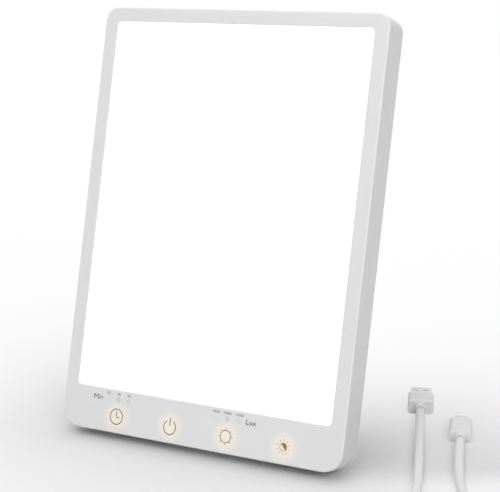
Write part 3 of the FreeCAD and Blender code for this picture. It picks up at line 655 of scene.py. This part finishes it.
def pipeFinish(settings):
    # frosted light pipes: the first of each three is lit warm, the others are dark
    finish = Finish("light_pipe_clear")
    across = finish.panelAxes()[0]
    step = panel["lampStep"]
    lit = 0.0
    for middle in panel["lampMiddles"].values():
        lit = (across - (middle - step)).size().below(step / 2) + lit
    haze = finish.noise(settings["grain"])
    finish.feed(
        BaseColor=finish.mix(lit, *settings["colours"]),
        EmissionColor=finish.mix(lit, *settings["lightColours"]),
        EmissionStrength=1.0,
        Roughness=between(settings["roughness"], haze),
        Normal=finish.bump(haze, settings["grainDepth"]),
    )
    return finish


foam = {"colours": (grey(0.03), grey(0.10)), "grain": 0.0005, "grainDepth": 0.0001, "roughness": (0.85, 0.95)}


def foamFinish(settings):
    # closed cells: dark pits between lighter walls
    finish = Finish("gasket_foam")
    pits = finish.cells(settings["grain"])
    finish.feed(
        BaseColor=finish.mix(pits, *settings["colours"]),
        Roughness=between(settings["roughness"], pits),
        Normal=finish.bump(pits, settings["grainDepth"]),
    )
    return finish


acrylic = {
    "colours": ((0.86, 0.90, 0.91), grey(0.96)),
    "roughness": (0.06, 0.56),
    "dotPitch": 0.0012,
    "dotLevel": 0.45,
    "refraction": 1.49,
    "clearness": 0.6,
}


def acrylicFinish(settings):
    # polished sheet with a grid of printed white dots, where sine across x sine up is high
    finish = Finish("clear_acrylic_sheet")
    across, up, _ = finish.panelAxes()
    pace = 2 * math.pi / settings["dotPitch"]
    dots = ((across * pace).wave() * (up * pace).wave()).above(settings["dotLevel"])
    finish.feed(
        BaseColor=finish.mix(dots, *settings["colours"]),
        Roughness=between(settings["roughness"], dots),
        IOR=settings["refraction"],
        TransmissionWeight=settings["clearness"],
    )
    return finish


sleeve = {
    "colours": ((0.03, 0.04, 0.09), (0.60, 0.62, 0.64)),
    "printGrain": 0.006,
    "printLevel": 0.58,
    "printMetal": 0.5,
    "roughness": (0.32, 0.42),
    "shineGrain": 0.001,
}


def canFinish(settings):
    # printed sleeve: dark blue with pale patches of print
    finish = Finish("capacitor_can")
    patch = finish.noise(settings["printGrain"], detail=0.0).above(settings["printLevel"])
    finish.feed(
        BaseColor=finish.mix(patch, *settings["colours"]),
        Roughness=between(settings["roughness"], finish.noise(settings["shineGrain"])),
        Metallic=patch * settings["printMetal"],
    )
    return finish


wire = {
    "colours": ((0.45, 0.03, 0.03), grey(0.03)),
    "colourGrain": 0.004,
    "colourLevel": 0.5,
    "rippleGrain": 0.0007,
    "rippleDepth": 0.00001,
    "roughness": (0.38, 0.48),
}


def wireFinish(settings):
    # red and black insulation, in stretches by a slow noise, with a faint extrusion ripple
    finish = Finish("wire_insulation")
    ripple = finish.noise(settings["rippleGrain"])
    black = finish.noise(settings["colourGrain"], detail=0.0).above(settings["colourLevel"])
    finish.feed(
        BaseColor=finish.mix(black, *settings["colours"]),
        Roughness=between(settings["roughness"], ripple),
        Normal=finish.bump(ripple, settings["rippleDepth"]),
    )
    return finish


jacket = {
    "colours": (grey(0.80), grey(0.84)),
    "cloudGrain": 0.015,
    "dragScale": (33.0, 40.0, 1.0),
    "skinGrain": 0.0005,
    "skinShare": 0.5,
    "depth": 0.000008,
    "roughness": 0.36,
    "skinRoughness": 0.1,
    "dragRoughness": 0.08,
    "sheen": 0.08,
}


def jacketFinish(settings):
    # soft white cord: a slow cloud of tone, and drag marks from its making, which are noise
    # 40 times round the cord but only every 30 mm along it
    finish = Finish("cord_jacket")
    spot = finish.add("ShaderNodeUVMap", {"uv_map": "alongAndRound"}, {})
    drag = finish.noise(1.0, place=finish.scaled(settings["dragScale"], place=spot))
    skin = finish.noise(settings["skinGrain"], detail=3.0)
    shine = settings["roughness"] + settings["skinRoughness"] * skin + settings["dragRoughness"] * drag
    finish.feed(
        BaseColor=finish.mix(finish.noise(settings["cloudGrain"]), *settings["colours"]),
        Roughness=shine,
        Normal=finish.bump(skin * settings["skinShare"] + drag, settings["depth"]),
        SheenWeight=settings["sheen"],
    )
    return finish


# Slot: the material's name, colour, roughness, grain and its depth, and the tone where it is stronger.
plastics = {
    "rear_cover": ("rear_cover_plastic", grey(0.77), 0.50, 0.0007, 0.000012),
    "stand": ("stand_plastic", grey(0.78), 0.46, 0.0006, 0.00001),
    "film": ("white_film", grey(0.90), 0.30, 0.0003, 0.000003),
    "inner_frame": ("frame_plastic", (0.70, 0.70, 0.69), 0.48, 0.0008, 0.000012),
    "light_cup": ("cup_plastic", (0.90, 0.90, 0.89), 0.35, 0.0004, 0.000005),
    "chip_black": ("chip_epoxy", grey(0.03), 0.40, 0.0003, 0.000006, 0.1),
    "ferrite": ("ferrite_core", (0.07, 0.07, 0.075), 0.60, 0.0005, 0.00003, 0.2),
    "connector_plastic": ("connector_nylon", (0.82, 0.79, 0.70), 0.45, 0.0004, 0.000006),
    "contact_insert": ("contact_insert", grey(0.05), 0.42, 0.0003, 0.000004, 0.08),
    "washer_nylon": ("washer_nylon", (0.84, 0.83, 0.78), 0.40, 0.0004, 0.000005),
    "plug_grip": ("plug_grip", grey(0.82), 0.45, 0.0005, 0.000008),
    "plug_insert": ("plug_insert", grey(0.80), 0.35, 0.0003, 0.000004),
}
# Slot: the material's name, colour, roughness, and the scale of its scratches, with their turn.
metals = {
    "aluminium_sheet": ("rolled_aluminium", (0.80, 0.81, 0.82), 0.30, (1.0, 0.04, 0.04)),
    "socket_steel": ("socket_steel", (0.66, 0.66, 0.67), 0.24, (1.0, 0.05, 1.0)),
    "pin_steel": ("pin_steel", (0.62, 0.62, 0.63), 0.18, (0.05, 1.0, 1.0)),
    "screw_steel": ("screw_steel", (0.60, 0.60, 0.62), 0.26, (0.2, 0.2, 1.0)),
    "plug_steel": ("plug_steel", (0.70, 0.70, 0.71), 0.26, (1.0, 0.06, 1.0), (0.0, 0.0, 0.3)),
    "contact_gold": ("contact_gold", (0.90, 0.70, 0.34), 0.18, (1.0, 0.1, 1.0)),
}
# Slot: the material's name, the colours of mask and covered copper, and the pitch of the traces.
boards = {
    "led_board": ("white_board", (0.88, 0.88, 0.86), (0.80, 0.80, 0.77), 0.004),
    "circuit_board": ("green_board", (0.02, 0.20, 0.07), (0.04, 0.28, 0.11), 0.0025),
}
# Slot: the material's name, its two tones, and roughness.
rubbers = {
    "conductive_sleeve": ("conductive_rubber", grey(0.02), grey(0.06), 0.7),
    "foot_rubber": ("foot_rubber", grey(0.30), grey(0.38), 0.7),
    "tie": ("tie_strap", grey(0.74), grey(0.78), 0.6),
}


def makeFinishes():
    made = {
        "casing": casingFinish(casing),
        "diffuser": diffuserFinish(diffuser),
        "clear_acrylic": acrylicFinish(acrylic),
        "foam": foamFinish(foam),
        "led_package": ledFinish(lightChip),
        "light_pipe": pipeFinish(lightPipe),
        "can": canFinish(sleeve),
        "wire_jacket": wireFinish(wire),
        "cord_jacket": jacketFinish(jacket),
    }
    for table, make in (
        (plastics, mouldedPlastic),
        (metals, brushedMetal),
        (boards, boardFinish),
        (rubbers, rubberFinish),
    ):
        for slotName, row in table.items():
            made[slotName] = make(*row)
    return made


def dressNodes(finishes):
    for node in frame["nodes"].values():
        for place in node.material_slots:
            place.material = finishes[place.material.name].material


finishes = makeFinishes()
dressNodes(finishes)
leadCord.data.materials.append(finishes["cord_jacket"].material)
print(len(finishes), "finishes made")

# Printed marks. Each stands proud of the face by height, and its foot is sunk into it.
ink = {
    "height": 0.00003,
    "sunk": 0.00002,
    "mergeDistance": 1e-7,
    "dotGrain": 0.00025,
    "dotDepth": 0.000004,
    "thickTone": 0.94,
    "thinTone": 1.10,
    "roughness": (0.45, 0.60),
    "colours": {
        "line": (0.045, 0.022, 0.010),
        "litHalf": (0.98, 0.85, 0.69),
        "fill": (0.225, 0.168, 0.088),
        "ray": (0.46, 0.33, 0.19),
        "word": (0.020, 0.020, 0.022),
        "figure": (0.085, 0.085, 0.085),
        "paleFigure": (0.20, 0.175, 0.150),
        "ring": (0.36, 0.35, 0.34),
        "paleRing": (0.50, 0.49, 0.47),
        "litRing": (0.74, 0.71, 0.68),
    },
}


def inkFinish(name, colour):
    # screen ink: tone broken by its dots, satin
    finish = Finish(name)
    dots = finish.noise(ink["dotGrain"])
    thick = [part * ink["thickTone"] for part in colour]
    thin = [min(1.0, part * ink["thinTone"]) for part in colour]
    finish.feed(
        BaseColor=finish.mix(dots, thick, thin),
        Roughness=between(ink["roughness"], dots),
        Normal=finish.bump(dots, ink["dotDepth"]),
    )
    return finish


# The cross-sections of a bead and of a filled sector, as shares of their half width and radius, and
# the points of a bead's rounded cap, as shares of the cap's length.
beadShares = np.array([1.0, 1.0, 0.75, -0.75, -1.0, -1.0])
sectorShares = np.array([0.0, 0.0, 0.97, 1.0, 1.0])
capShares = np.array([0.0, 0.03, 0.12, 0.28, 0.5, 0.75, 1.0])


def withHeights(flat, heights):
    # rows of (across, up), with each column of the grid at its own height
    tall = np.broadcast_to(np.array(heights)[None, :, None], (*flat.shape[:2], 1))
    return np.concatenate([flat, tall], axis=2)


def stroke(path, width, closed=False):
    # A low flat-topped bead is carried along the path: its grid of points, and whether it is closed.
    # At an open end its half width falls as sqrt(1 - s^2) over the last half width, a round cap.
    half = np.full(len(path), width / 2)
    if closed:
        ahead = np.roll(path, -1, axis=0) - np.roll(path, 1, axis=0)
    else:
        ahead = np.gradient(path, axis=0)
        along = lengthsAlong(path)
        toEnd = np.minimum(along, along[-1] - along)
        near = np.clip(1.0 - toEnd / (width / 2), 0.0, 1.0)
        half = half * np.sqrt(1.0 - near**2)
    ahead = unit(ahead)
    side = np.stack([-ahead[:, 1], ahead[:, 0]], axis=1)
    flat = path[:, None, :] + side[:, None, :] * (half[:, None] * beadShares)[..., None]
    foot, top = -ink["sunk"], ink["height"]
    return withHeights(flat, [foot, top / 2, top, top, top / 2, foot]), closed


def line(start, end, width):
    # points closer together in the rounded ends than between them
    length = np.linalg.norm(end - start)
    cap = capShares * width / 2
    share = np.concatenate([cap, length - cap[::-1]]) / length
    return start + share[:, None] * (end - start)


def directions(angle):
    return np.stack([np.cos(angle), np.sin(angle)], axis=1)


def arc(centre, radius, fromDegrees, toDegrees, points, width=0.0):
    # centre + radius (cos a, sin a); with a width, the ends get the cap's closer points
    turn = math.radians(toDegrees - fromDegrees)
    share = np.linspace(0.0, 1.0, points)
    if width:
        cap = capShares * width / 2 / abs(radius * turn)
        middle = np.linspace(cap[-1], 1.0 - cap[-1], points)[1:-1]
        share = np.concatenate([cap, middle, 1.0 - cap[::-1]])
    return centre + radius * directions(math.radians(fromDegrees) + turn * share)


def ring(centre, radius, points):
    return centre + radius * directions(np.linspace(0.0, 2.0 * math.pi, points, endpoint=False))


def sector(centre, radius, fromDegrees, toDegrees, points):
    # a filled sector: the profile middle, top, rim, foot is swept round the centre
    spokes = directions(np.radians(np.linspace(fromDegrees, toDegrees, points)))
    reach = radius * sectorShares
    flat = centre + spokes[:, None, :] * reach[None, :, None]
    foot, top = -ink["sunk"], ink["height"]
    return withHeights(flat, [foot, top, top, top / 2, foot]), False


def rays(centre, count, span, width):
    # the first ray points up
    strokes = []
    for number in range(count):
        angle = math.radians(90.0 + 360.0 / count * number)
        ahead = np.array([math.cos(angle), math.sin(angle)])
        strokes.append(stroke(line(centre + span[0] * ahead, centre + span[1] * ahead, width), width))
    return strokes


def showMark(name, mesh, finish):
    # doubles merged and every face turned outwards, then shown on the casing
    shape = bmesh.new()
    shape.from_mesh(mesh)
    bmesh.ops.remove_doubles(shape, verts=shape.verts, dist=ink["mergeDistance"])
    bmesh.ops.dissolve_degenerate(shape, edges=shape.edges, dist=ink["mergeDistance"])
    bmesh.ops.recalc_face_normals(shape, faces=shape.faces)
    shape.to_mesh(mesh)
    shape.free()
    mesh.materials.clear()
    mesh.materials.append(finish.material)
    piece = addObject(name, mesh)
    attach(piece, "root")


def strokeMesh(name, strokes, finish):
    points, quads, caps = [], [], []
    start = 0
    for grid, closed in strokes:
        rows, columns = grid.shape[:2]
        points.append(grid.reshape(-1, 3))
        quads.append(gridFaces(rows, columns, start, closed, True))
        if not closed:
            caps.append(list(range(start, start + columns)))
            caps.append(list(range(start + (rows - 1) * columns, start + rows * columns)))
        start += rows * columns
    mesh = bpy.data.meshes.new(name)
    places = onPanel(np.concatenate(points))
    mesh.from_pydata(places.tolist(), [], np.concatenate(quads).tolist() + caps)
    showMark(name, mesh, finish)


symbols = {
    "line": 0.00047,
    "wide": 0.93,
    "ringPoints": 48,
    "clockRadius": 0.0041,
    "handPin": -0.0003,
    "minuteTip": (-0.0002, 0.0030),
    "hourTip": (0.0020, -0.0004),
    "powerCentreDrop": 0.0005,
    "powerRadius": 0.0038,
    "powerGapDegrees": 62.0,
    "powerPoints": 44,
    "powerBar": (0.0008, 0.0050),
    "sunRadius": 0.0032,
    "sunLine": 0.00038,
    "sunRay": (0.0037, 0.0044),
    "sunRays": 8,
    "halfSunRadius": 0.0022,
    "halfSunTilt": -48.0,
    "halfSunPoints": 40,
    "halfSunLine": 0.00024,
    "outlinePoints": 30,
    "halfSunRay": (0.0029, 0.0041),
    "halfSunRays": 10,
    "rayLine": 0.00034,
}


def clockStrokes(centre, up, settings):
    width = settings["line"]
    pin = centre + up * settings["handPin"]
    return [
        stroke(ring(centre, settings["clockRadius"], settings["ringPoints"]), width, True),
        stroke(line(centre + np.array(settings["minuteTip"]), pin + up * width, width), width),
        stroke(line(pin, centre + np.array(settings["hourTip"]), width), width),
    ]


def powerStrokes(centre, up, settings):
    width = settings["line"]
    middle = centre - up * settings["powerCentreDrop"]
    gap = settings["powerGapDegrees"] / 2
    low, high = settings["powerBar"]
    radius, points = settings["powerRadius"], settings["powerPoints"]
    return [
        stroke(arc(middle, radius, 90.0 + gap, 450.0 - gap, points, width), width),
        stroke(line(middle + up * low, middle + up * high, width), width),
    ]


def sunStrokes(centre, settings):
    width = settings["sunLine"]
    disc = stroke(ring(centre, settings["sunRadius"], settings["ringPoints"]), width, True)
    return [disc] + rays(centre, settings["sunRays"], settings["sunRay"], width)


def makeSymbols(settings, inks):
    # strokes by symbol part, all squeezed towards their key's middle by the share wide
    up = np.array([0.0, 1.0])
    clock, power, sun, halfSun = [np.array([place, panel["keyHeight"]]) for place in panel["keyPlaces"]]
    tilt, radius = settings["halfSunTilt"], settings["halfSunRadius"]
    thin, points = settings["halfSunLine"], settings["halfSunPoints"]
    outline = arc(halfSun, radius - thin / 2, tilt + 180.0, tilt + 360.0, settings["outlinePoints"])
    darkHalf = [sector(halfSun, radius, tilt, tilt + 180.0, points), stroke(outline, thin)]
    litHalf = [sector(halfSun, radius - thin, tilt + 180.0, tilt + 360.0, points)]
    halfSunRays = rays(halfSun, settings["halfSunRays"], settings["halfSunRay"], settings["rayLine"])
    for name, centre, strokes, tone in (
        ("clock", clock, clockStrokes(clock, up, settings), "line"),
        ("power", power, powerStrokes(power, up, settings), "line"),
        ("brightness", sun, sunStrokes(sun, settings), "line"),
        ("half_sun", halfSun, darkHalf, "fill"),
        ("half_sun_lit", halfSun, litHalf, "litHalf"),
        ("half_sun_rays", halfSun, halfSunRays, "ray"),
    ):
        for grid, _ in strokes:
            grid[..., 0] = centre[0] + (grid[..., 0] - centre[0]) * settings["wide"]
        strokeMesh(f"key_symbol_{name}", strokes, inks[tone])


# A word has its left and right end, foot and height, a figure its middle and width.
marks = {
    "words": {
        "time": ("Min", -0.0636, -0.0581, 0.0169, 0.0026),
        "light": ("Lux", 0.0282, 0.0340, 0.0169, 0.0026),
    },
    "figures": (
        (("20", -0.0547, 0.0021), ("40", -0.0483, 0.0021), ("60", -0.0420, 0.0021)),
        (("8000", 0.0109, 0.0038), ("10000", 0.0174, 0.0041), ("12000", 0.0244, 0.0043)),
    ),
    "figureHeight": 0.0211,
    "figureTall": 0.00130,
    "figureInks": ("paleFigure", "figure", "figure"),
    "letterDepth": 0.02,
    "letterSteps": 6,
    "ringRadius": 0.00095,
    "ringLine": 0.00022,
    "ringPoints": 32,
    "ringInks": ("litRing", "ring", "paleRing"),
}


def textMesh(name, words, left, right, foot, tall, finish):
    # built-in font, cut to the box left..right wide and tall high
    curve = bpy.data.curves.new(name, "FONT")
    curve.body = words
    curve.extrude = marks["letterDepth"]
    curve.resolution_u = marks["letterSteps"]
    letters = addObject(name + "_letters", curve)
    graph = bpy.context.evaluated_depsgraph_get()
    mesh = bpy.data.meshes.new_from_object(letters.evaluated_get(graph))
    bpy.data.objects.remove(letters)
    spots = vertexPlaces(mesh)
    low, high = spots.min(axis=0), spots.max(axis=0)
    share = (spots - low) / (high - low)
    across = left + share[:, 0] * (right - left)
    up = foot + share[:, 1] * tall
    proud = -ink["sunk"] + share[:, 2] * (ink["sunk"] + ink["height"])
    mesh.vertices.foreach_set("co", onPanel(np.stack([across, up, proud], axis=1)).ravel())
    mesh.update()
    showMark(name, mesh, finish)


def makeMarks(settings, inks):
    for side, word in settings["words"].items():
        textMesh(f"unit_word_{side}", *word, inks["word"])
    tall = settings["figureTall"]
    foot = settings["figureHeight"] - tall / 2
    for group in settings["figures"]:
        for (words, middle, wide), tone in zip(group, settings["figureInks"]):
            left, right = middle - wide / 2, middle + wide / 2
            textMesh(f"figure_{words}", words, left, right, foot, tall, inks[tone])
    for side, middle in panel["lampMiddles"].items():
        for number, tone in enumerate(settings["ringInks"]):
            centre = np.array([middle + (number - 1) * panel["lampStep"], panel["lampHeight"]])
            path = ring(centre, settings["ringRadius"], settings["ringPoints"])
            ringStroke = stroke(path, settings["ringLine"], True)
            strokeMesh(f"lamp_ring_{side}_{number + 1}", [ringStroke], inks[tone])


inks = {name: inkFinish(f"{name}_ink", colour) for name, colour in ink["colours"].items()}
makeSymbols(symbols, inks)
makeMarks(marks, inks)
print("marks printed")

# Floor, world and lights.
# footRow, footHalf: the line on which the lamp's foot stands, and half its length. The shade lies
# beside the lamp: shadeDegrees is its direction, shadeRise and shadeEnd its two ends along that,
# and shadeEdge its front edge across it, each end as the place where it starts and its length.
studio = {
    "floorSize": 14.0,
    "floorPoints": 3,
    "floorColours": (grey(0.73 * 0.99), grey(0.73)),
    "floorRoughness": 0.9,
    "floorShine": 0.1,
    "fibreGrain": 0.0008,
    "halfWhite": 0.117,
    "roundPower": 3.0,
    "footRow": -0.03,
    "footHalf": 0.07,
    "footShade": 0.025,
    "shadeDegrees": 26.3,
    "shadeDepth": 0.080,
    "halfShade": 0.107,
    "shadePower": 3.3,
    "shadeRise": (0.0, 0.04),
    "shadeEnd": (0.09, 0.15),
    "shadeEdge": (-0.076, 0.032),
    "leastDepth": 0.001,
    "horizonLight": 0.14,
    "zenithLight": 0.60,
    "aim": (0.0, 0.0, 0.10),
    "lights": {
        "key_light": {"place": (1.15, -1.06, 1.0), "size": 0.6, "power": 8.4},
        "front_light": {"place": (-0.05, -1.05, 1.35), "size": 1.0, "power": 7.7},
        "top_light": {"place": (0.0, 0.1, 1.7), "size": 1.6, "power": 4.5},
    },
}


def viewedOnly(graph):
    # 1 for rays from the camera, a mirror or clear glass, else 0
    rayKinds = ("Is Camera Ray", "Is Glossy Ray", "Is Transmission Ray")
    seen = [graph.add("ShaderNodeLightPath", {}, {}, kind) for kind in rayKinds]
    return seen[0].most(seen[1]).most(seen[2])


def eased(place, start, length):
    # 3 s^2 - 2 s^3 with s = (place - start) / length, held between 0 and 1
    share = ((place - start) / length).clamped()
    return share * share * (3.0 - 2.0 * share)


def whitened(away, half, power):
    # 0 close by, 1/2 at the distance half, and 1 far out: 1 / (1 + (half / away)^power)
    return 1.0 / ((half / away) ** power + 1.0)


def whiteShare(finish, settings):
    # how far the floor has turned white: slowly all round, and in the shade beside the lamp by the
    # depth behind its front edge, but not close to the lamp's foot
    x, y, _ = finish.axes()
    allRound = whitened(distance(x, y), settings["halfWhite"], settings["roundPower"])
    besideFoot = (x.size() - settings["footHalf"]).most(0.0)
    offFoot = eased(distance(besideFoot, y - settings["footRow"]), 0.0, settings["footShade"])
    turn = math.radians(settings["shadeDegrees"])
    along = x * math.cos(turn) + y * math.sin(turn)
    depth = y * math.cos(turn) - x * math.sin(turn)
    inDepth = (depth + settings["shadeDepth"]).most(settings["leastDepth"])
    shaded = whitened(inDepth, settings["halfShade"], settings["shadePower"])
    inShade = eased(along, *settings["shadeRise"]) * (1.0 - eased(along, *settings["shadeEnd"]))
    inShade = inShade * eased(depth, *settings["shadeEdge"])
    return (allRound + (shaded - allRound) * inShade) * offFoot


def floorFinish(settings):
    # matt paper, which turns to plain white for the eye further out
    finish = Finish("floor_paper")
    fibre = finish.noise(settings["fibreGrain"], detail=3.0)
    finish.feed(
        BaseColor=finish.mix(fibre, *settings["floorColours"]),
        Roughness=settings["floorRoughness"],
        SpecularIORLevel=settings["floorShine"],
    )
    paper = Flow(finish, finish.shader.outputs[0])
    white = finish.add("ShaderNodeEmission", {}, {"Color": grey(1.0), "Strength": 1.0})
    share = whiteShare(finish, settings) * viewedOnly(finish)
    both = finish.add("ShaderNodeMixShader", {}, [share, paper, white])
    finish.fill(finish.output.inputs[0], both)
    return finish


def makeFloor(settings):
    half, points = settings["floorSize"] / 2, settings["floorPoints"]
    side = np.linspace(-half, half, points)
    x, y = np.meshgrid(side, side)
    places = np.stack([x.ravel(), y.ravel(), np.zeros(x.size)], axis=1)
    mesh = bpy.data.meshes.new("floor")
    mesh.from_pydata(places.tolist(), [], gridFaces(points, points, 0, False, False).tolist())
    mesh.materials.append(floorFinish(settings).material)
    floor = addObject("floor", mesh)


def makeWorld(settings):
    # white to the eye, while its light grows from the horizon to the zenith with the height of
    # its direction
    world = bpy.data.worlds.new("studio")
    world.use_nodes = True
    bpy.context.scene.world = world
    sky = Graph(world.node_tree)
    direction = sky.add("ShaderNodeTexCoord", {}, {}, "Generated")
    height = sky.add("ShaderNodeSeparateXYZ", {}, [direction], "Z")
    limits = {"To Min": settings["horizonLight"], "To Max": settings["zenithLight"]}
    strength = sky.add("ShaderNodeMapRange", {}, {"Value": height, **limits})
    soft = sky.add("ShaderNodeBackground", {}, {"Color": grey(1.0), "Strength": strength})
    white = sky.add("ShaderNodeBackground", {}, {"Color": grey(1.0), "Strength": 1.0})
    both = sky.add("ShaderNodeMixShader", {}, [viewedOnly(sky), soft, white])
    output = sky.tree.nodes.new("ShaderNodeOutputWorld")
    sky.fill(output.inputs[0], both)


def makeLight(name, settings, aim):
    light = bpy.data.lights.new(name, "AREA")
    light.size = settings["size"]
    light.energy = settings["power"]
    lamp = addObject(name, light)
    lamp.location = settings["place"]
    toAim = Vector(aim) - Vector(settings["place"])
    lamp.rotation_euler = toAim.to_track_quat("-Z", "Y").to_euler()


makeFloor(studio)
makeWorld(studio)
for name, light in studio["lights"].items():
    makeLight(name, light, studio["aim"])
bpy.context.scene.view_settings.view_transform = "Standard"
print("studio set")
